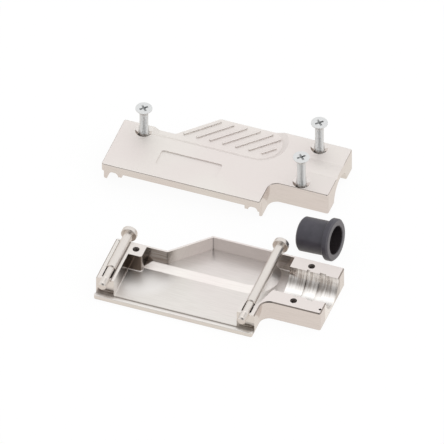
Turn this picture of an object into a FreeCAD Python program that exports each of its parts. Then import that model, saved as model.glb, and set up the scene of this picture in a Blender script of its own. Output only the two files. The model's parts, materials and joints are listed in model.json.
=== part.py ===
# Two-part die-cast hood for a 25-way subminiature connector, laid out open.
# Millimetres, +Z up. The base lies inside up, the cover outside up behind it,
# the cable ferrule between them, and the origin is under the middle of the kit.
import FreeCAD, Part
import math
import os

V = FreeCAD.Vector

# Connector that the hood closes round
flange_width = 53.04
flange_height = 12.55
flange_thickness = 1.15
flange_play = 0.1
flange_height_play = 0.35
flange_hole_inset = 3.0

# Plan of both halves, from the front left corner: X along the connector, Y to the back
side_clearance = 0.18
block_length = 19.4
left_depth = 21.95
bump_depth = 33.3
valley_from_left = 17.1
bump_run = 11.3
neck_radius = 3.2

# Walls and heights
wall = 1.0
floor_thickness = 1.0
slot_floor = 0.75
channel_wall = 1.4
cover_extra_height = 0.95
lip_thickness = 1.25
base_lip_grip = 1.05
cover_lip_grip = 1.3
corner_round = 0.7
edge_round = 0.35
rim_chamfer = 0.35
lip_edge_round = 0.4
inner_corner_round = 0.8
inner_floor_round = 0.3
boss_round = 0.8

# Thumb grip, a ribbed recess in the outer face over the bump
grip_left = 10.9
grip_front = 19.0
grip_right = 52.0
grip_overrun = 1.7
grip_depth = 1.15
grip_slope = 2.0
inner_grip_slope = 2.7
inner_grip_setback = 0.3
rib_count = 7
rib_pitch = 4.37
rib_first = 19.9
rib_border = 3.9
rib_back_border = 1.5
rib_side_border = 2.6
rib_width = 0.8
rib_height = 0.4
rib_edge_round = 0.18

# Bare label recess in the cover
label_left = 16.1
label_front = 5.6
label_length = 20.4
label_depth_in_plan = 6.9
label_recess = 0.35
label_corner = 0.9

# Jackscrews, their guide blocks at the front and their half-round bearings
jackscrew_thread_diameter = 2.84
jackscrew_thread_length = 3.8
jackscrew_neck_diameter = 2.35
jackscrew_neck_end = 7.6
jackscrew_shank_diameter = 3.1
jackscrew_head_diameter = 5.2
jackscrew_head_length = 1.8
jackscrew_head_stand_off = 2.1
jackscrew_slot_width = 0.8
jackscrew_slot_depth = 0.9
running_clearance = 0.08
guide_block_length = 5.2
guide_inner_wall = 1.15
yoke_thickness = 1.0
cover_notch_rise = 3.2
cover_guide_gap = 1.7

# Case screws with countersunk cross-recess heads
screw_diameter = 2.84
screw_tapping_diameter = 2.26
screw_head_diameter = 5.4
screw_head_edge = 0.25
left_screw_proud = 9.9
right_screws_proud = 11.0
screw_hole_clearance = 0.05
countersink_extra = 0.1
thread_end_gap = 0.25
recess_span = 2.9
recess_blade = 0.62
recess_depth = 1.3
left_screw_x = 7.6
left_screw_from_back = 3.1
block_screw_x_from_end = 10.1
block_screw_to_channel = 1.345
block_screw_to_side = 0.2
boss_front_reach = 2.8
boss_side_reach = 2.85

# Cable entry
entry_length = 16.5
channel_grooves = ((10.8, 1.0), (6.5, 2.0))
channel_groove_depth = 0.6
entry_flare = 1.3
crown_half_width = 3.1
crown_height = 0.4
crown_length = 14.0
locating_hole_diameter = 0.9
locating_hole_depth = 1.2
locating_hole_from_end = 0.8
locating_hole_from_front = 2.0

# Cable ferrule, a flanged bush
ferrule_fit = 0.375
ferrule_bore_diameter = 9.2
ferrule_body_length = 9.8
ferrule_flange_diameter = 13.8
ferrule_flange_thickness = 2.1
ferrule_chamfer = 0.5
ferrule_flange_round = 0.5
ferrule_turn = -5.0

# Lay-out of the open kit
cover_left_shift = 15.9
cover_gap = 18.2
ferrule_from_end = 12.7
ferrule_gap = 12.27

# Sizes worked out from the ones above
hood_width = flange_width + 2 * side_clearance
hood_length = hood_width + block_length
jackscrew_spacing = flange_width - 2 * flange_hole_inset
half_flange = flange_height / 2 + flange_height_play
base_height = half_flange + slot_floor
cover_height = base_height + cover_extra_height
channel_radius = base_height - channel_wall
countersink_radius = screw_head_diameter / 2 + countersink_extra
block_screw_from_axis = channel_radius + block_screw_to_channel + screw_tapping_diameter / 2
block_half_width = block_screw_from_axis + countersink_radius + block_screw_to_side
block_front = bump_depth - 2 * block_half_width
axis_y = bump_depth - block_half_width
slot_back = lip_thickness + flange_thickness + flange_play
grip_round = (bump_depth + grip_overrun - grip_front) / 2
jackscrew_x = ((hood_width - jackscrew_spacing) / 2, (hood_width + jackscrew_spacing) / 2)
guide_radius = jackscrew_shank_diameter / 2 + running_clearance
yoke_radius = jackscrew_neck_diameter / 2 + running_clearance
guide_reach = guide_radius + guide_inner_wall
guide_back = slot_back + guide_block_length
screw_reach = base_height - floor_thickness - thread_end_gap
screw_length = cover_height + screw_reach
screw_places = {
    "rear_left": (left_screw_x, left_depth - left_screw_from_back),
    "rear_right": (hood_length - block_screw_x_from_end, axis_y + block_screw_from_axis),
    "front_right": (hood_length - block_screw_x_from_end, axis_y - block_screw_from_axis),
}
beyond = 1.0


def box(x0, x1, y0, y1, z0, z1):
    return Part.makeBox(x1 - x0, y1 - y0, z1 - z0, V(x0, y0, z0))


def prism(wire, z0, z1):
    face = Part.Face(wire)
    face.translate(V(0, 0, z0))
    return face.extrude(V(0, 0, z1 - z0))


def polygon(points):
    corners = [V(x, y, 0) for x, y in points]
    return Part.makePolygon(corners + corners[:1])


def rod_x(x0, x1, y, z, radius):
    return Part.makeCylinder(radius, x1 - x0, V(x0, y, z), V(1, 0, 0))


def rod_y(x, y0, y1, z, radius):
    return Part.makeCylinder(radius, y1 - y0, V(x, y0, z), V(0, 1, 0))


def rod_z(x, y, z0, z1, radius):
    return Part.makeCylinder(radius, z1 - z0, V(x, y, z0), V(0, 0, 1))


def upright_edges(shape):
    return [e for e in shape.Edges if e.BoundBox.XLength + e.BoundBox.YLength < 1e-6]


def edges_at_height(shape, z):
    return [e for e in shape.Edges if abs(e.BoundBox.ZMin - z) + abs(e.BoundBox.ZMax - z) < 1e-6]


def turned(profile, axis_end):
    """Solid of revolution about Z from (radius, height) points, closed on the axis."""
    points = [V(r, 0, z) for r, z in profile]
    face = Part.Face(Part.makePolygon(points + points[:1]))
    return face.revolve(V(0, 0, 0), V(0, 0, axis_end), 360)


def hood_outline():
    """Plan of both halves: front edge, concave neck, cable block, bump and valley."""
    arc_start = V(hood_width, block_front - neck_radius, 0)
    arc_end = V(hood_width + neck_radius, block_front, 0)
    bend = neck_radius * (1 - math.sqrt(0.5))
    arc_middle = V(hood_width + bend, block_front - bend, 0)
    bump_left = valley_from_left + bump_run
    after_neck = [arc_end, V(hood_length, block_front, 0), V(hood_length, bump_depth, 0),
                  V(bump_left, bump_depth, 0), V(valley_from_left, left_depth, 0),
                  V(0, left_depth, 0), V(0, 0, 0), V(hood_width, 0, 0), arc_start]
    sides = [Part.LineSegment(a, b).toShape() for a, b in zip(after_neck, after_neck[1:])]
    neck = Part.Arc(arc_start, arc_middle, arc_end).toShape()
    return Part.Wire(Part.__sortEdges__([neck] + sides))


def grip_outline(margin, z):
    """Thumb-grip area, open past the back edges, with its right end a half round."""
    left, front, right = grip_left - margin, grip_front - margin, grip_right + margin
    radius = grip_round + margin
    back = front + 2 * radius
    arc = Part.Arc(V(right - radius, front, z), V(right, front + radius, z),
                   V(right - radius, back, z)).toShape()
    points = [V(right - radius, back, z), V(left, back, z), V(left, front, z), V(right - radius, front, z)]
    sides = [Part.LineSegment(a, b).toShape() for a, b in zip(points, points[1:])]
    return Part.Wire(Part.__sortEdges__([arc] + sides))


def grip_ribs():
    """Raised ribs at 45 degrees on the recess floor, each a bar with round ends."""
    front = grip_front + rib_border
    back = bump_depth - rib_back_border
    right = grip_right - rib_side_border
    ribs = []
    for i in range(rib_count):
        start = rib_first + i * rib_pitch
        run = min(back - front, right - start)
        bar = Part.makeBox(run * math.sqrt(2), rib_width, rib_height, V(0, -rib_width / 2, 0))
        for along in (0, run * math.sqrt(2)):
            bar = bar.fuse(Part.makeCylinder(rib_width / 2, rib_height, V(along, 0, 0)))
        bar = bar.removeSplitter()
        bar = bar.makeFillet(rib_edge_round, edges_at_height(bar, 0))
        bar.rotate(V(0, 0, 0), V(0, 0, 1), 45)
        bar.translate(V(start, front, grip_depth - rib_height))
        ribs.append(bar)
    return ribs


def screw_bosses(height):
    """Solid metal in the cavity: the rear left boss and the cable block."""
    x, y = screw_places["rear_left"]
    guide_edge = jackscrew_x[0] + guide_radius
    boss = box(guide_edge, x + boss_side_reach, y - boss_front_reach, left_depth, 0, height)
    front_corner = [e for e in upright_edges(boss) if e.BoundBox.YMax < y and e.BoundBox.XMin > x]
    boss = boss.makeFillet(boss_round, front_corner)
    entry_left = hood_length - entry_length
    pad = [(hood_width - wall, block_front - neck_radius),
           (hood_width + entry_flare, axis_y - channel_radius - entry_flare / 4),
           (entry_left, axis_y - channel_radius + 2 * entry_flare),
           (entry_left, bump_depth), (hood_length, bump_depth),
           (hood_length, 0), (hood_width - wall, 0)]
    return [boss, prism(polygon(pad), 0, height)]


def guide_islands(height, gap):
    """Guide blocks beside the jackscrews at the front and the thin wall along the left one."""
    left, right = jackscrew_x
    top = height - gap
    blocks = [box(0, left + guide_reach, slot_back, guide_back, 0, top),
              box(right - guide_reach, hood_width + neck_radius, slot_back, guide_back, 0, top)]
    thin = box(left + guide_radius, left + guide_reach, slot_back,
               screw_places["rear_left"][1], 0, top)
    return blocks + [thin]


def grip_recess():
    """The recess in the outer face, z = 0, with its wide sloping border."""
    slope_at_face = grip_slope * (beyond + grip_depth) / grip_depth
    low = grip_outline(slope_at_face - grip_slope / 2, -beyond)
    high = grip_outline(-grip_slope / 2, grip_depth)
    return Part.makeLoft([low, high], True, True)


def raised_floor():
    """The floor keeps its thickness over the grip recess and slopes down round it."""
    low = grip_outline(inner_grip_slope / 2 - inner_grip_setback, floor_thickness)
    high = grip_outline(-inner_grip_slope / 2 - inner_grip_setback, floor_thickness + grip_depth)
    return Part.makeLoft([low, high], True, True)


def tray(height, lip_grip, guide_gap):
    """Either half with its outer face on z = 0 and its open rim at z = height."""
    shell = prism(hood_outline(), 0, height)
    shell = shell.makeFillet(corner_round, upright_edges(shell))
    shell = shell.makeFillet(edge_round, edges_at_height(shell, 0))
    shell = shell.makeChamfer(rim_chamfer, edges_at_height(shell, height))
    cavity = prism(hood_outline().makeOffset2D(-wall), floor_thickness, height + beyond)
    cavity = cavity.makeFillet(inner_corner_round, upright_edges(cavity))
    cavity = cavity.cut(screw_bosses(height) + guide_islands(height, guide_gap))
    cavity = cavity.makeFillet(inner_floor_round, edges_at_height(cavity, floor_thickness))
    shell = shell.cut(cavity.cut(raised_floor()))
    slot_level = height - half_flange
    lip_level = slot_level + lip_grip
    above = height + beyond
    mouth = box(-beyond, hood_width + beyond, -beyond, slot_back, lip_level, above)
    shell = shell.cut(mouth)
    lip_front = [e for e in edges_at_height(shell, lip_level) if e.BoundBox.YMax < 1e-6]
    shell = shell.makeFillet(lip_edge_round, lip_front)
    slot = box(-beyond, hood_width + beyond, lip_thickness, slot_back, slot_level, above)
    end = hood_length + beyond
    channel = rod_x(hood_length - entry_length - beyond, end, axis_y, height, channel_radius)
    grooves = [rod_x(hood_length - start, hood_length - start + width, axis_y, height,
                     channel_radius + channel_groove_depth) for start, width in channel_grooves]
    back_bearings = [rod_y(x, guide_back, y + beyond, height, guide_radius)
                     for x, y in zip(jackscrew_x, (left_depth, bump_depth))]
    shell = shell.cut([slot, channel] + grooves + back_bearings + [grip_recess()])
    return shell.fuse(grip_ribs())


def lower_shell():
    """Base half: narrow yokes hold the jackscrew necks, and the bosses are tapped."""
    shell = tray(base_height, base_lip_grip, 0)
    yoke_back = slot_back + yoke_thickness
    above = base_height + beyond
    cuts = []
    for x in jackscrew_x:
        cuts.append(rod_y(x, yoke_back, guide_back + beyond, base_height, guide_radius))
        cuts.append(rod_y(x, slot_back - beyond, yoke_back + beyond, base_height, yoke_radius))
    for x, y in screw_places.values():
        cuts.append(rod_z(x, y, base_height - screw_reach - thread_end_gap / 2, above,
                          screw_tapping_diameter / 2))
    cuts.append(rod_z(hood_length - locating_hole_from_end, block_front + locating_hole_from_front,
                      base_height - locating_hole_depth, above, locating_hole_diameter / 2))
    return shell.cut(cuts)


def countersunk_hole(x, y):
    """Through hole with a 90 degree countersink in the outer face, z = 0."""
    radius = screw_diameter / 2 + screw_hole_clearance
    mouth = countersink_radius
    profile = [(0, -beyond), (mouth, -beyond), (mouth, 0), (radius, mouth - radius),
               (radius, cover_height + beyond), (0, cover_height + beyond)]
    hole = turned(profile, 1)
    hole.translate(V(x, y, 0))
    return hole


def cover_in_tray_pose():
    shell = tray(cover_height, cover_lip_grip, cover_guide_gap)
    crown_radius = (crown_half_width ** 2 + crown_height ** 2) / (2 * crown_height)
    crown = rod_x(hood_length - crown_length, hood_length, axis_y,
                  crown_radius - crown_height, crown_radius)
    crown = crown.common(box(0, hood_length, 0, bump_depth, -beyond, edge_round * 2))
    label = box(label_left, label_left + label_length, label_front,
                label_front + label_depth_in_plan, -beyond, label_recess)
    label = label.makeFillet(label_corner, upright_edges(label))
    shell = shell.fuse(crown)
    cuts = [label]
    for x in jackscrew_x:
        low = cover_height - cover_notch_rise + guide_radius
        cuts.append(rod_y(x, slot_back - beyond, guide_back + beyond, low, guide_radius))
        cuts.append(box(x - guide_radius, x + guide_radius, slot_back - beyond,
                        guide_back + beyond, low, cover_height + beyond))
    cuts += [countersunk_hole(x, y) for x, y in screw_places.values()]
    return shell.cut(cuts)


def upper_shell():
    """Cover half, turned outer face up beside the base."""
    shell = cover_in_tray_pose().mirror(V(0, 0, 0), V(0, 0, 1))
    shell.translate(V(-cover_left_shift, bump_depth + cover_gap, cover_height))
    return shell


def jackscrew(x, back):
    """Turned screw: 4-40 end, neck, shank and slotted pan head, axis along Y."""
    head_face = back + jackscrew_head_stand_off
    thread_root = slot_back - running_clearance
    tip = thread_root - jackscrew_thread_length
    radii = [d / 2 for d in (jackscrew_thread_diameter, jackscrew_neck_diameter,
                             jackscrew_shank_diameter, jackscrew_head_diameter)]
    thread, neck, shank, head = radii
    chamfer = thread / 4
    soft = head / 8
    profile = [(0, tip), (thread - chamfer, tip), (thread, tip + chamfer), (thread, thread_root),
               (neck, thread_root), (neck, jackscrew_neck_end), (shank, jackscrew_neck_end),
               (shank, head_face), (head, head_face), (head, head_face + jackscrew_head_length - soft),
               (head - soft, head_face + jackscrew_head_length),
               (0, head_face + jackscrew_head_length)]
    screw = turned(profile, 1)
    slot = box(-head - beyond, head + beyond, -jackscrew_slot_width / 2, jackscrew_slot_width / 2,
               head_face + jackscrew_head_length - jackscrew_slot_depth,
               head_face + jackscrew_head_length + beyond)
    screw = screw.cut(slot)
    screw.rotate(V(0, 0, 0), V(1, 0, 0), -90)
    screw.translate(V(x, 0, base_height))
    return screw


def case_screw():
    """Countersunk screw with a cross recess, head up, its tip on z = 0."""
    head = screw_head_diameter / 2
    radius = screw_diameter / 2
    cone = head - radius
    chamfer = radius / 3
    profile = [(0, 0), (radius - chamfer, 0), (radius, chamfer),
               (radius, screw_length - screw_head_edge - cone),
               (head, screw_length - screw_head_edge), (head, screw_length), (0, screw_length)]
    screw = turned(profile, 1)
    top = screw_length + recess_blade / 2
    lobe = turned([(0, screw_length - recess_depth), (recess_span / 4, screw_length - recess_depth),
                   (recess_span / 2, top), (0, top)], 1)
    for turn in (45, 135):
        blade = box(-recess_span, recess_span, -recess_blade / 2, recess_blade / 2,
                    screw_length - recess_depth - beyond, top + beyond)
        blade.rotate(V(0, 0, 0), V(0, 0, 1), turn)
        screw = screw.cut(lobe.common(blade))
    return screw


def placed_screw(place):
    """Screw started in its cover hole, standing proud by the height the lay-out gives."""
    x, y = screw_places[place]
    proud = left_screw_proud if place == "rear_left" else right_screws_proud
    screw = case_screw()
    screw.translate(V(x - cover_left_shift, y + bump_depth + cover_gap,
                      cover_height + proud - screw_length))
    return screw


def cable_ferrule():
    """Flanged bush on its side: it rests on the flange rim and on the edge of its body."""
    bore = ferrule_bore_diameter / 2
    body = channel_radius - ferrule_fit
    flange = ferrule_flange_diameter / 2
    length = ferrule_body_length + ferrule_flange_thickness
    soft = ferrule_flange_round
    profile = [(bore, 0), (body - ferrule_chamfer, 0), (body, ferrule_chamfer),
               (body, ferrule_body_length), (flange - soft / 3, ferrule_body_length),
               (flange, ferrule_body_length + soft / 3), (flange, length - soft),
               (flange - soft, length), (bore + soft / 2, length), (bore, length - soft / 2)]
    bush = turned(profile, 1)
    bush.rotate(V(0, 0, 0), V(0, 1, 0), 90)
    rise = (flange - body) / (ferrule_body_length + soft / 3 - ferrule_chamfer)
    bush.rotate(V(0, 0, 0), V(0, 1, 0), -math.degrees(math.atan(rise)))
    bush.rotate(V(0, 0, 0), V(0, 0, 1), ferrule_turn)
    bush.translate(V(hood_length - ferrule_from_end - length / 2,
                     bump_depth + ferrule_gap, -bush.optimalBoundingBox(False).ZMin))
    return bush


def build():
    nodes = {
        "lower_shell": lower_shell(),
        "upper_shell": upper_shell(),
        "jackscrew_left": jackscrew(jackscrew_x[0], left_depth),
        "jackscrew_right": jackscrew(jackscrew_x[1], bump_depth),
        "cable_ferrule": cable_ferrule(),
    }
    for place in screw_places:
        nodes["case_screw_" + place] = placed_screw(place)
    return nodes


def centred(nodes):
    """Puts the origin under the middle of the kit's box, on the surface it lies on."""
    kit = FreeCAD.BoundBox()
    for shape in nodes.values():
        kit.add(shape.optimalBoundingBox(False))
    shift = V(-(kit.XMin + kit.XMax) / 2, -(kit.YMin + kit.YMax) / 2, 0)
    for shape in nodes.values():
        shape.translate(shift)
    return shift


def main():
    os.makedirs("parts", exist_ok=True)
    nodes = build()
    shift = centred(nodes)
    print("front left corner of the base at", shift.x, shift.y)
    for name, shape in nodes.items():
        print(name, len(shape.Solids), "solid", round(shape.Volume, 2), "mm3, valid", shape.isValid())
        shape.exportStep("parts/" + name + ".step")


main()
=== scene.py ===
import json
import math
import bmesh
import bpy
from mathutils import Matrix, Vector


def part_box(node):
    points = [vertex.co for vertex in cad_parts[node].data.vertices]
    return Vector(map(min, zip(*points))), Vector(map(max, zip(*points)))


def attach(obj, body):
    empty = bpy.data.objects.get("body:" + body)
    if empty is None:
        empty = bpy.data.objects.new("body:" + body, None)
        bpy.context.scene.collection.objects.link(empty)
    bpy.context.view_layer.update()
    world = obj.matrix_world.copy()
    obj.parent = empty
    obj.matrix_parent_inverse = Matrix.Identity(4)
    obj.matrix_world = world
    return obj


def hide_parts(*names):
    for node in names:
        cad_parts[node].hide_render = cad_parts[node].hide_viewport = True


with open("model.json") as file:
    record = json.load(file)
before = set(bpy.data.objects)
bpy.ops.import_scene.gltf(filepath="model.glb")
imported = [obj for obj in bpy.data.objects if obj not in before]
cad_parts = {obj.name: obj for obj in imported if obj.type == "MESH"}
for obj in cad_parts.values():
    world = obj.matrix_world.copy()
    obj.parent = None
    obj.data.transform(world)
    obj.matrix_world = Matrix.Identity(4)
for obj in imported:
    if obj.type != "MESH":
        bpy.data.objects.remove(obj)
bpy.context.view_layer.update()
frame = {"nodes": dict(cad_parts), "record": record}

nodes = frame["nodes"]
MM = 0.001


# Base half of the hood
# One zinc die-casting, nickel plated and tumbled, so its faces are pale and
# satin bright. It carries the guide blocks, the tapped bosses and half of the
# cable channel, and it lies with its inside up.
class Field:
    """A value that changes over a surface: arithmetic on it adds Math nodes."""

    def __init__(self, graph, socket):
        self.graph = graph
        self.socket = socket

    def maths(self, operation, *others, clamp=False):
        settings = {"operation": operation, "use_clamp": clamp}
        return self.graph.add("ShaderNodeMath", settings, self, *others)

    def __add__(self, other):
        return self.maths("ADD", other)

    def __sub__(self, other):
        return self.maths("SUBTRACT", other)

    def __rsub__(self, other):
        return self.graph.add("ShaderNodeMath", {"operation": "SUBTRACT"}, other, self)

    def __mul__(self, other):
        return self.maths("MULTIPLY", other)

    def __truediv__(self, other):
        return self.maths("DIVIDE", other)

    def __gt__(self, other):
        return self.maths("GREATER_THAN", other)

    def __lt__(self, other):
        return self.maths("LESS_THAN", other)

    __radd__ = __add__
    __rmul__ = __mul__


class Graph:
    """A node tree: each call adds a node and gives back one of its outputs."""

    def __init__(self, tree):
        self.tree = tree
        self.tree.nodes.clear()

    def add(self, kind, settings=None, *values, output=0, **named):
        """A node of that kind: its settings first, then the values or links of its sockets."""
        node = self.tree.nodes.new(kind)
        for setting, value in (settings or {}).items():
            if setting == "stops":
                self.set_stops(node.color_ramp, value)
            else:
                setattr(node, setting, value)
        for place, value in enumerate(values):
            self.feed(node.inputs[place], value)
        for socket, value in named.items():
            self.feed(node.inputs[socket.replace("_", " ")], value)
        return Field(self, node.outputs[output]) if len(node.outputs) else None

    def feed(self, socket, value):
        if value is None:
            return
        if isinstance(value, Field):
            self.tree.links.new(value.socket, socket)
        else:
            socket.default_value = value

    def set_stops(self, ramp, stops):
        while len(ramp.elements) < len(stops):
            ramp.elements.new(0.5)
        for element, (position, level) in zip(ramp.elements, stops):
            element.position = position
            element.color = (level, level, level, 1.0)


class Finish(Graph):
    """The surface of a material, or the light of the world."""

    def blend(self, share, first, second):
        """Colour mixed from the first to the second by a share from 0 to 1."""
        node = self.tree.nodes.new("ShaderNodeMix")
        node.data_type = "RGBA"
        self.feed(node.inputs[0], share)
        self.feed(node.inputs[6], first)
        self.feed(node.inputs[7], second)
        return Field(self, node.outputs[2])

    def place(self, axis):
        """One coordinate on the piece, in metres."""
        place = self.add("ShaderNodeTexCoord", output="Object")
        return self.add("ShaderNodeSeparateXYZ", {}, place, output=axis)

    def normal(self, axis):
        normal = self.add("ShaderNodeNewGeometry", output="Normal")
        return self.add("ShaderNodeSeparateXYZ", {}, normal, output=axis)

    def noise(self, size, detail=2.0, stretch=(1.0, 1.0, 1.0)):
        """Noise whose features are about that size, in metres, and longer by each stretch."""
        place = self.add("ShaderNodeTexCoord", output="Object")
        scale = tuple(1.0 / length for length in stretch)
        place = self.add("ShaderNodeMapping", {}, Vector=place, Scale=scale)
        return self.add("ShaderNodeTexNoise", {}, Vector=place, Scale=1 / size, Detail=detail)

    def ramp(self, value, *stops):
        return self.add("ShaderNodeValToRGB", {"stops": stops}, value)

    def bump(self, height, depth, under=None):
        """Relief of that depth, in metres, from a height between 0 and 1."""
        return self.add("ShaderNodeBump", {}, Height=height, Distance=depth, Strength=1.0, Normal=under)

    def surface(self, **named):
        shader = self.add("ShaderNodeBsdfPrincipled", {}, **named)
        self.add("ShaderNodeOutputMaterial", {}, shader)


def new_finish(name):
    material = bpy.data.materials.new(name)
    material.use_nodes = True
    return material, Finish(material.node_tree)


def rgb(red, green, blue):
    return (red, green, blue, 1.0)


def middle(node):
    """Middle of the box of a CAD node."""
    low, high = (Vector(corner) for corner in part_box(node))
    return (low + high) / 2


SCREW_PLACES = ("rear_left", "rear_right", "front_right")
cover_offset = Vector(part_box("upper_shell")[0]) - Vector(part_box("lower_shell")[0])
cover_holes = [middle("case_screw_" + place) for place in SCREW_PLACES]
base_holes = [hole - cover_offset for hole in cover_holes]
base_low, base_high = (Vector(corner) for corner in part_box("lower_shell"))

RIM_HEIGHT = 6.9 * MM
UNDERSIDE_HEIGHT = 0.4 * MM
LIP_HEIGHT = 2.0 * MM
# Where the painted shadow in the slot behind the front lip starts and ends, from the front.
SLOT_SHADOW_START = 0.9 * MM
SLOT_SHADOW_END = 2.85 * MM
BEARING_EDGE = 1.5 * MM
BEARING_EDGE_WIDTH = 0.45 * MM
CHANNEL_HALF_WIDTH = 6.9 * MM
channel_start = base_high.x - 16.5 * MM
channel_axis = (base_holes[1].y + base_holes[2].y) / 2

WARM_NICKEL = rgb(0.8, 0.77, 0.735)
ROSY_NICKEL = rgb(0.785, 0.735, 0.712)
TURNED_NICKEL = rgb(1.0, 0.985, 0.965)
POCKET_FLOOR = rgb(0.87, 0.845, 0.82)
DRAWN_MARK = rgb(0.5, 0.46, 0.42)
# Dark brown for the painted shade and painted reflections on the plated castings.
PAINTED_SHADE_BROWN = rgb(0.2, 0.155, 0.125)


def plated_casting(name, holes, hole_radius, hole_roughness, pockets=()):
    """Bright nickel over fine cast zinc: satin faces and bright sides, with painted shade laid on in dark
    brown.

    Each pocket is a spot and how far round it that reaches: a paler floor, and painted shade on the sides
    nearby.
    """
    material, finish = new_finish(name)
    x, y, z = (finish.place(axis) for axis in "XYZ")

    def away(spot):
        """Distance from the upright line through a spot."""
        return ((x - spot.x) * (x - spot.x) + (y - spot.y) * (y - spot.y)).maths("SQRT")

    rise = finish.normal("Z").maths("ABSOLUTE")
    level = rise > 0.6
    outside = level * ((z > RIM_HEIGHT) + (z < UNDERSIDE_HEIGHT))
    inside = 1.0 - outside
    bores = [away(hole) < hole_radius for hole in holes]
    cut = sum(bores)
    # Painted shadow on the sloping faces of each countersink, on its front side.
    shaded_side = [bore * (y < hole.y - 0.4 * MM) for bore, hole in zip(bores, holes)]
    painted_countersink_shadow = sum(shaded_side) * (rise < 0.9)
    from_axis = y - channel_axis
    channel = (x > channel_start) * (from_axis.maths("ABSOLUTE") < CHANNEL_HALF_WIDTH)
    channel = channel * (outside < 0.5) * (z > 0.6 * MM)

    # A painted reflection: a narrow dark line along the outer edges, wider where the faces turn to the
    # front.
    frontal = (finish.normal("Y") < -0.3) * (y < holes[2].y) * 0.06
    rounding = rise * (1.0 - rise * rise).maths("SQRT") + frontal
    edge = finish.ramp(rounding, (0.44, 0.0), (0.47, 1.0)) * outside

    clouds = finish.ramp(finish.noise(26 * MM, 1.0), (0.4, 0.0), (0.6, 1.0))
    drawn = finish.noise(0.35 * MM, 2.0, (18.0, 1.0, 1.0))
    rings = finish.noise(0.5 * MM, 3.0, (1.0, 12.0, 12.0)) * channel
    marks = finish.ramp(drawn, (0.4, 0.0), (0.7, 0.15)) * inside * (z > 0.45 * MM)
    colour = finish.blend(clouds, WARM_NICKEL, ROSY_NICKEL)
    colour = finish.blend(channel, colour, TURNED_NICKEL)
    colour = finish.blend(marks, colour, DRAWN_MARK)

    # The edge line starts the painted shade at 80 per cent.
    painted_shade = edge * 0.8
    if pockets:
        near = sum(finish.ramp(away(spot) / (2 * reach), (0.36, 1.0), (0.5, 0.0)) for spot, reach in pockets)
        pocket_floor = near.maths("MINIMUM", 1.0) * (rise > 0.95) * inside
        colour = finish.blend(pocket_floor, colour, POCKET_FLOOR)
        # Painted shade on the upright faces round the pockets, streaked by the drawn marks.
        painted_wall_shade = near * (rise < 0.3) * (0.3 + drawn * 0.8)
        # Painted shade on the rear half of the cable channel, broken up by its rings.
        rear = finish.ramp(from_axis / (12 * MM), (0.1, 0.0), (0.34, 0.8))
        painted_channel_shade = rear * finish.ramp(rings, (0.4, 0.6), (0.62, 1.0)) * channel
        # Painted shadow in the slot behind the front lip.
        from_front = y - base_low.y
        painted_slot_shadow = (from_front > SLOT_SHADOW_START) * (from_front < SLOT_SHADOW_END) * (z < LIP_HEIGHT) * 0.18
        # Painted shadow: a narrow dark band on the rim beside the left jackscrew.
        past = x - middle("jackscrew_left").x - BEARING_EDGE
        painted_gap_shadow = (past > 0.0) * (past < BEARING_EDGE_WIDTH) * (z > RIM_HEIGHT) * 0.7
        # Painted shade in corners and narrow recesses, from ambient occlusion.
        openness = finish.add("ShaderNodeAmbientOcclusion", {"samples": 6}, Distance=2.2 * MM, output="AO")
        painted_crevice_shade = finish.ramp(openness, (0.12, 0.8), (0.45, 0.0))
        for share in (painted_wall_shade + painted_channel_shade, painted_slot_shadow, painted_gap_shadow, painted_crevice_shade):
            painted_shade = painted_shade.maths("MAXIMUM", share)
        painted_shade = painted_shade.maths("MINIMUM", 1.0)
    # The painted shade and the painted countersink shadows are mixed in here, in dark brown.
    colour = finish.blend(painted_shade * (1.0 - cut) + painted_countersink_shadow * 0.9, colour, PAINTED_SHADE_BROWN)

    skin = finish.bump(finish.noise(0.3 * MM, 3.0), 0.0018 * MM)
    streaks = finish.bump(drawn * (1.0 - channel) * 0.2 + rings * 0.3, 0.03 * MM, skin)
    swell = finish.bump(finish.noise(5 * MM, 1.0), 0.02 * MM, streaks)
    grain = finish.noise(0.9 * MM, 4.0)
    satin = 0.13 + level * 0.23 + outside * 0.2 - channel * 0.06 + grain * 0.06 - edge * 0.4
    finish.surface(Base_Color=colour, Metallic=1.0, Normal=swell,
                   Roughness=satin * (1.0 - cut) + cut * hole_roughness)
    return material


def dress(node, material):
    """A CAD node keeps its shape and takes this finish."""
    nodes[node].data.materials.clear()
    nodes[node].data.materials.append(material)


beside_left_boss = base_holes[0] + Vector((3.0, -3.0, 0.0)) * MM
front_of_boss = base_holes[0] + Vector((0.0, -3.5, 0.0)) * MM
channel_throat = base_holes[1] + Vector((-9.0, 2.5, 0.0)) * MM
base_pockets = ((beside_left_boss, 12.0 * MM), (front_of_boss, 3.0 * MM), (channel_throat, 3.5 * MM))
base_casting = plated_casting("nickel plated base casting", base_holes, 1.2 * MM, 0.5, base_pockets)
dress("lower_shell", base_casting)


WALL_THICKNESS = 1.0 * MM
BEARING_RADIUS = 1.64 * MM
bearing_front = base_low.y + 7.7 * MM
bearing_back = base_low.y + 20.95 * MM


def bearing_wall():
    """The side wall is thicker along the left jackscrew, with the edge by the screw eased."""
    low = Vector((base_low.x + WALL_THICKNESS, bearing_front, base_low.z + WALL_THICKNESS))
    high = Vector((middle("jackscrew_left").x - BEARING_RADIUS, bearing_back, base_high.z))
    form = bmesh.new()
    bmesh.ops.create_cube(form, size=1.0)
    eased = [edge for edge in form.edges if all(end.co.x > 0 and end.co.z > 0 for end in edge.verts)]
    for vertex in form.verts:
        vertex.co = [a + (b - a) * (share + 0.5) for a, b, share in zip(low, high, vertex.co)]
    bmesh.ops.bevel(form, geom=eased, offset=0.15 * MM, segments=3, affect="EDGES")
    mesh = bpy.data.meshes.new("base left bearing wall")
    form.to_mesh(mesh)
    form.free()
    mesh.materials.append(base_casting)
    wall = bpy.data.objects.new("base_left_bearing_wall", mesh)
    bpy.context.scene.collection.objects.link(wall)
    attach(wall, "hood")


bearing_wall()


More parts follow.
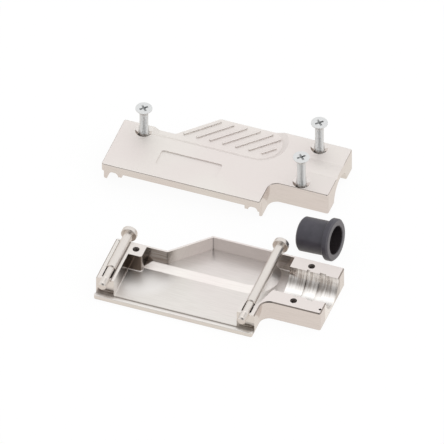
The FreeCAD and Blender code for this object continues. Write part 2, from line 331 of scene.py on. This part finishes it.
# Cover half of the hood
# The matching die-casting, outside up: a smooth roof with a ribbed thumb grip,
# a bare label recess and a low crown over the cable. Its three countersunk holes
# take the screws that close the hood.
COUNTERSINK_RADIUS = 2.85 * MM
cover_casting = plated_casting("nickel plated cover casting", cover_holes, COUNTERSINK_RADIUS, 0.1)
dress("upper_shell", cover_casting)


# Jackscrews
# Two long turned screws, nickel plated, that pull the hood on to its socket.
# The end is rolled with a fine thread, a neck turns in the base, and the pan
# head has a driver slot.
def turned_steel(name, colour, roughness):
    """Plated steel with the faint rings that a lathe leaves."""
    material, finish = new_finish(name)
    rings = finish.noise(0.12 * MM, 2.0, (40.0, 40.0, 1.0))
    clouds = finish.ramp(finish.noise(4 * MM, 2.0), (0.35, 0.93), (0.65, 1.0))
    cloudy = rgb(*(part * 0.9 for part in colour))
    shade = finish.blend(clouds, cloudy, rgb(*colour))
    finish.surface(Base_Color=shade, Metallic=1.0, Roughness=roughness + rings * 0.1,
                   Normal=finish.bump(rings, 0.003 * MM))
    return material


def turned(profile, facets):
    """Closed mesh turned about Z from (radius, height) points, from the tip up."""
    form = bmesh.new()
    rings = []
    for radius, height in profile:
        turns = facets if radius > 0 else 1
        angles = [i * math.tau / facets for i in range(turns)]
        rings.append([form.verts.new((radius * math.cos(a), radius * math.sin(a), height)) for a in angles])
    for low, high in zip(rings, rings[1:]):
        for i in range(facets):
            j = i + 1
            corners = [low[i % len(low)], low[j % len(low)], high[j % len(high)], high[i % len(high)]]
            form.faces.new(list(dict.fromkeys(corners)))
    mesh = bpy.data.meshes.new("turned blank")
    form.to_mesh(mesh)
    form.free()
    return mesh


def blade(width, bottom, top, low, high):
    """Closed wedge for a recess: so wide, and as long as its bottom and top say."""
    corners = [(x * length / 2, y * width / 2, z) for z, length in ((low, bottom), (high, top))
               for x, y in ((-1, -1), (1, -1), (1, 1), (-1, 1))]
    sides = [(3, 2, 1, 0), (4, 5, 6, 7)] + [(i, (i + 1) % 4, 4 + (i + 1) % 4, 4 + i) for i in range(4)]
    mesh = bpy.data.meshes.new("recess blade")
    mesh.from_pydata(corners, [], sides)
    return mesh


def hidden_object(name, mesh):
    """Object for a step of the work, which is deleted when the step is done."""
    thing = bpy.data.objects.new(name, mesh)
    bpy.context.scene.collection.objects.link(thing)
    return thing


def worked(thing):
    """The mesh of the object with its modifiers applied; the object goes."""
    evaluated = thing.evaluated_get(bpy.context.evaluated_depsgraph_get())
    mesh = bpy.data.meshes.new_from_object(evaluated)
    thing.modifiers.clear()
    bpy.data.objects.remove(thing)
    return mesh


def cut_recess(blank, blades):
    """The blank with each of the blades cut out of its head."""
    for number, cutter_mesh in enumerate(blades):
        thing = hidden_object("blank in work", blank)
        cutter = hidden_object("cutter %d" % number, cutter_mesh)
        cut = thing.modifiers.new("recess", "BOOLEAN")
        cut.operation = "DIFFERENCE"
        cut.solver = "EXACT"
        cut.object = cutter
        blank = worked(thing)
        bpy.data.objects.remove(cutter)
    return blank


THREAD_INPUTS = (("Points", "Geometry"), ("Blank", "Object"), ("Radius", "Float"), ("Depth", "Float"),
                 ("Pitch", "Float"), ("From", "Float"), ("To", "Float"), ("Facets", "Int"),
                 ("Rows", "Int"), ("Steel", "Material"))


def rolled_thread():
    """Tree that rolls a thread on a blank and sets the screw on each point."""
    tree = bpy.data.node_groups.new("rolled thread", "GeometryNodeTree")
    graph = Graph(tree)
    for name, kind in THREAD_INPUTS:
        tree.interface.new_socket(name=name, in_out="INPUT", socket_type="NodeSocket" + kind)
    tree.interface.new_socket(name="Screws", in_out="OUTPUT", socket_type="NodeSocketGeometry")

    def given(name):
        return graph.add("NodeGroupInput", output=name)

    def along(axis):
        place = graph.add("GeometryNodeInputPosition")
        return graph.add("ShaderNodeSeparateXYZ", {}, place, output=axis)

    start, end = given("From"), given("To")
    sheet = graph.add("GeometryNodeMeshGrid", {}, 1.0, 1.0, given("Facets") + 1.0, given("Rows"))
    round_share = along("X") + 0.5
    height = start + (along("Y") + 0.5) * (end - start)
    wave = (height / given("Pitch") - round_share).maths("PINGPONG", 0.5) * 2.0
    ends = (height - start).maths("MINIMUM", end - height) / given("Pitch")
    radius = given("Radius") - given("Depth") * wave * ends.maths("MINIMUM", 1.0)
    angle = round_share * math.tau
    place = graph.add("ShaderNodeCombineXYZ", {}, radius * angle.maths("COSINE"),
                      radius * angle.maths("SINE"), height)
    thread = graph.add("GeometryNodeSetPosition", {}, Geometry=sheet, Position=place)
    blank = graph.add("GeometryNodeObjectInfo", {}, given("Blank"), output="Geometry")
    band = (along("Z") > start) * (along("Z") < end)
    open_blank = graph.add("GeometryNodeDeleteGeometry", {"domain": "FACE"}, blank, band)
    joined = graph.add("GeometryNodeJoinGeometry")
    for part in (thread, open_blank):
        tree.links.new(part.socket, joined.socket.node.inputs[0])
    screw = graph.add("GeometryNodeMergeByDistance", {}, Geometry=joined, Distance=0.001 * MM)
    copies = graph.add("GeometryNodeInstanceOnPoints", {}, Points=given("Points"), Instance=screw)
    real = graph.add("GeometryNodeRealizeInstances", {}, copies)
    finished = graph.add("GeometryNodeSetMaterial", {}, Geometry=real, Material=given("Steel"))
    graph.add("NodeGroupOutput", {}, finished)
    return tree


thread_tree = rolled_thread()
THREAD_PITCH = 0.635 * MM
THREAD_DEPTH = 0.2 * MM
ROWS_TO_A_TURN = 8


def threaded(name, points, blank, radius, start, end, facets, steel):
    """Screws on those points, with the thread rolled between the two heights."""
    stand = bpy.data.meshes.new(name)
    stand.from_pydata([tuple(point) for point in points], [], [])
    thing = hidden_object(name + " in work", stand)
    blank_object = hidden_object(name + " blank", blank)
    roller = thing.modifiers.new("thread", "NODES")
    roller.node_group = thread_tree
    settings = {"Blank": blank_object, "Radius": radius, "Depth": THREAD_DEPTH, "Pitch": THREAD_PITCH,
                "From": start, "To": end, "Facets": facets, "Steel": steel,
                "Rows": round((end - start) / THREAD_PITCH * ROWS_TO_A_TURN)}
    for socket in thread_tree.interface.items_tree:
        if socket.name in settings:
            roller[socket.identifier] = settings[socket.name]
    mesh = worked(thing)
    bpy.data.objects.remove(blank_object)
    return mesh


def smooth(mesh):
    """Smooth shading with the edges of the turned faces kept crisp."""
    mesh.shade_smooth()
    mesh.set_sharp_from_angle(angle=math.radians(32))


steel = turned_steel("nickel plated turned steel", (0.755, 0.71, 0.67), 0.27)


def jackscrew(side):
    """The screw is turned with its tip at the origin, then laid along Y in its bearings."""
    low, high = (Vector(corner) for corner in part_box("jackscrew_" + side))
    centre = middle("jackscrew_" + side)
    length = high.y - low.y
    head = (high.z - low.z) / 2
    thread, neck, shank = 1.42 * MM, 1.175 * MM, 1.55 * MM
    thread_end = 3.8 * MM
    neck_end = thread_end + 5.18 * MM
    head_face = length - 1.8 * MM
    tip = thread * 0.28
    ease = 0.1 * MM
    shoulder = 0.12 * MM
    soft = head / 8
    facets = 64
    profile = [(0, 0), (thread - tip, 0), (thread, tip), (thread, thread_end - ease),
               (thread * 0.9, thread_end), (neck, thread_end), (neck, neck_end),
               (shank - shoulder, neck_end), (shank, neck_end + shoulder), (shank, head_face),
               (head - ease, head_face), (head, head_face + ease), (head, length - soft),
               (head - soft * 0.3, length - soft * 0.3), (head - soft, length), (0, length)]
    slot = blade(0.8 * MM, 8 * head, 8 * head, length - 0.9 * MM, length + head)
    blank = cut_recess(turned(profile, facets), [slot])
    mesh = threaded("jackscrew " + side, [(0, 0, 0)], blank, thread, tip, thread_end - ease,
                    facets, steel)
    lay = Matrix.Translation((centre.x, low.y, centre.z))
    mesh.transform(lay @ Matrix.Rotation(math.radians(-90), 4, "X"))
    smooth(mesh)
    screw = bpy.data.objects.new("jackscrew_%s_turned" % side, mesh)
    bpy.context.scene.collection.objects.link(screw)
    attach(screw, side + "_jackscrew")
    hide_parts("jackscrew_" + side)


jackscrew("left")
jackscrew("right")


# Case screws
# Three countersunk screws of zinc plated steel that close the hood. They stand
# started in the holes of the cover.
zinc = turned_steel("bright zinc plated steel", (0.72, 0.727, 0.727), 0.32)


def case_screws():
    """One screw with a cross recess, set on the foot of each of the three."""
    feet = [middle("case_screw_" + place) for place in SCREW_PLACES]
    low, high = (Vector(corner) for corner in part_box("case_screw_rear_left"))
    for foot, place in zip(feet, SCREW_PLACES):
        foot.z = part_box("case_screw_" + place)[0][2]
    length = high.z - low.z
    head = (high.x - low.x) / 2
    radius = 1.42 * MM
    tip = radius * 0.33
    rim = 0.25 * MM
    cone_foot = length - rim - (head - radius)
    thread_end = cone_foot - 0.2 * MM
    facets = 48
    profile = [(0, 0), (radius - tip, 0), (radius, tip), (radius, thread_end),
               (radius, cone_foot), (head, length - rim), (head, length - 0.05 * MM),
               (head - 0.08 * MM, length), (0, length)]
    recess_width, recess_bottom, recess_top, recess_depth = 0.72 * MM, 1.4 * MM, 3.1 * MM, 1.3 * MM
    blades = []
    for turn in (45, 135):
        wing = blade(recess_width, recess_bottom, recess_top, length - recess_depth, length + 0.1 * MM)
        wing.transform(Matrix.Rotation(math.radians(turn), 4, "Z"))
        blades.append(wing)
    blank = cut_recess(turned(profile, facets), blades)
    mesh = threaded("case screws", feet, blank, radius, tip, thread_end, facets, zinc)
    smooth(mesh)
    screws = bpy.data.objects.new("case_screws_rolled", mesh)
    bpy.context.scene.collection.objects.link(screws)
    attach(screws, "hood")
    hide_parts(*("case_screw_" + place for place in SCREW_PLACES))


case_screws()


# Cable ferrule
# A moulded bush of dark grey plastic that grips the cable in the channel. Its
# skin is matt, with the fine grain of the mould.
DEEP_GREY = rgb(0.043, 0.04, 0.052)
SLATE_GREY = rgb(0.054, 0.05, 0.064)
# Paler grey for the end faces: a painted sheen, speckled by the grain.
END_FACE_SHEEN_GREY = rgb(0.105, 0.1, 0.11)
# Near black painted as shade inside the bore.
BORE_SHADE_BLACK = rgb(0.02, 0.016, 0.018)


def ferrule_plastic():
    """Mottled matt plastic, with a painted sheen on the end faces and painted shade, nearly black, in the
    bore.
    """
    material, finish = new_finish("dark grey plastic")
    bore = next(mount for mount in frame["record"]["mounts"] if mount["name"] == "ferrule_bore")
    axis = tuple(bore["axis"])
    place = finish.add("ShaderNodeTexCoord", output="Object")
    offset = finish.add("ShaderNodeVectorMath", {"operation": "SUBTRACT"}, place, tuple(bore["pos_m"]))
    across = finish.add("ShaderNodeVectorMath", {"operation": "CROSS_PRODUCT"}, offset, axis)
    radius = finish.add("ShaderNodeVectorMath", {"operation": "LENGTH"}, across, output="Value")
    in_bore = radius < (bore["dims"]["r_mm"] + 0.1) * MM
    facing = finish.add("ShaderNodeNewGeometry", output="Normal")
    endwise = finish.add("ShaderNodeVectorMath", {"operation": "DOT_PRODUCT"}, facing, axis, output="Value")
    mottle = finish.ramp(finish.noise(2.2 * MM, 3.0), (0.35, 0.0), (0.65, 1.0))
    grain = finish.noise(0.25 * MM, 3.0)
    end_face_sheen = finish.ramp(endwise.maths("ABSOLUTE"), (0.6, 0.0), (0.95, 1.0)) * (0.5 + grain)
    shade = finish.blend(mottle, DEEP_GREY, SLATE_GREY)
    shade = finish.blend(end_face_sheen, shade, END_FACE_SHEEN_GREY)
    finish.surface(Base_Color=finish.blend(in_bore, shade, BORE_SHADE_BLACK),
                   Roughness=0.3 + grain * 0.12, Normal=finish.bump(grain, 0.006 * MM))
    return material


dress("cable_ferrule", ferrule_plastic())


# Studio
# A white table in a white room, a softbox overhead, and the dark side of the
# room round the camera, which the plated faces mirror.
camera_azimuth = math.radians(19.8)
camera_elevation = math.radians(43.32)
camera_distance = 0.8
view_width = 140.95 * MM
middle_of_view = base_low + Vector((30.0, 35.0, 5.0)) * MM
pixel = view_width / 444
shift_right = 2.33 * pixel
shift_up = 16.25 * pixel

right = Vector((math.cos(camera_azimuth), math.sin(camera_azimuth), 0.0))
back = Vector((math.sin(camera_azimuth) * math.cos(camera_elevation),
               -math.cos(camera_azimuth) * math.cos(camera_elevation),
               math.sin(camera_elevation)))
up = back.cross(right)
aim = middle_of_view + right * shift_right + up * shift_up

scene = bpy.context.scene
camera = bpy.data.objects.new("camera", bpy.data.cameras.new("camera"))
scene.collection.objects.link(camera)
scene.camera = camera
camera.data.type = "ORTHO"
camera.data.ortho_scale = view_width
camera.data.clip_end = 10.0
camera.location = aim + back * camera_distance
camera.rotation_euler = (-back).to_track_quat("-Z", "Y").to_euler()


def mirrored_or_seen(finish):
    """1 for what the camera sees, straight or in a reflection."""
    seen = finish.add("ShaderNodeLightPath", output="Is Camera Ray")
    glossy = finish.add("ShaderNodeLightPath", output="Is Glossy Ray")
    through = finish.add("ShaderNodeLightPath", output="Is Transmission Ray")
    return (seen + glossy + through).maths("MINIMUM", 1.0)


WHITE = rgb(1.0, 1.0, 1.0)
TABLE_IN_A_MIRROR = rgb(0.86, 0.81, 0.76)
TABLE_PAINT = rgb(0.95, 0.95, 0.95)
TABLE_BOUNCE = rgb(0.68, 0.68, 0.68)
TABLE_RADIUS = 2.5
GLOW_SHARE = 0.93


def white_table():
    """White to the eye; the metal mirrors it a little darker and warmer."""
    material, finish = new_finish("white table")
    seen = finish.add("ShaderNodeLightPath", output="Is Camera Ray")
    glow = finish.add("ShaderNodeEmission", {}, finish.blend(seen, TABLE_IN_A_MIRROR, WHITE), 1.0)
    bounced = finish.add("ShaderNodeLightPath", output="Is Diffuse Ray")
    paint = finish.add("ShaderNodeBsdfDiffuse", {}, finish.blend(bounced, TABLE_PAINT, TABLE_BOUNCE))
    both = finish.add("ShaderNodeMixShader", {}, mirrored_or_seen(finish) * GLOW_SHARE, paint, glow)
    finish.add("ShaderNodeOutputMaterial", {}, both)
    return material


def round_plate(name, radius):
    """A flat disc at floor level with its face up."""
    mesh = bpy.data.meshes.new(name)
    angles = [a * math.tau / 64 for a in range(64)]
    corners = [(radius * math.cos(angle), radius * math.sin(angle), 0.0) for angle in angles]
    mesh.from_pydata(corners, [], [tuple(range(len(corners)))])
    plate = bpy.data.objects.new(name, mesh)
    scene.collection.objects.link(plate)
    return plate


table = round_plate("table", TABLE_RADIUS)
table.data.materials.append(white_table())


def studio_world():
    """White all round, brightest overhead, dark where the lens and its stand are."""
    world = bpy.data.worlds.new("studio")
    world.use_nodes = True
    scene.world = world
    finish = Finish(world.node_tree)
    towards = finish.add("ShaderNodeTexCoord", output="Generated")
    facing = finish.add("ShaderNodeVectorMath", {"operation": "DOT_PRODUCT"}, towards, tuple(back),
                        output="Value")
    rightward, overhead = (finish.add("ShaderNodeSeparateXYZ", {}, towards, output=axis) for axis in "XZ")
    dark_side = finish.ramp(facing, (0.55, 0.0), (0.88, 0.32), (0.93, 0.65), (0.98, 1.0))
    softbox = finish.ramp(overhead, (0.82, 0.0), (0.95, 1.0))
    room = 1.0 - 0.97 * dark_side * (1.0 - softbox) + 0.38 * softbox
    soft = 0.45 + overhead.maths("MAXIMUM", 0.0) * 0.6 + rightward.maths("MAXIMUM", 0.0) * 1.2
    glossy = finish.add("ShaderNodeLightPath", output="Is Glossy Ray")
    seen = finish.add("ShaderNodeLightPath", output="Is Camera Ray")
    level = glossy * room + seen + (1.0 - glossy - seen) * soft
    light = finish.add("ShaderNodeBackground", {}, WHITE, level)
    finish.add("ShaderNodeOutputWorld", {}, light)


studio_world()
scene.view_settings.view_transform = "Standard"
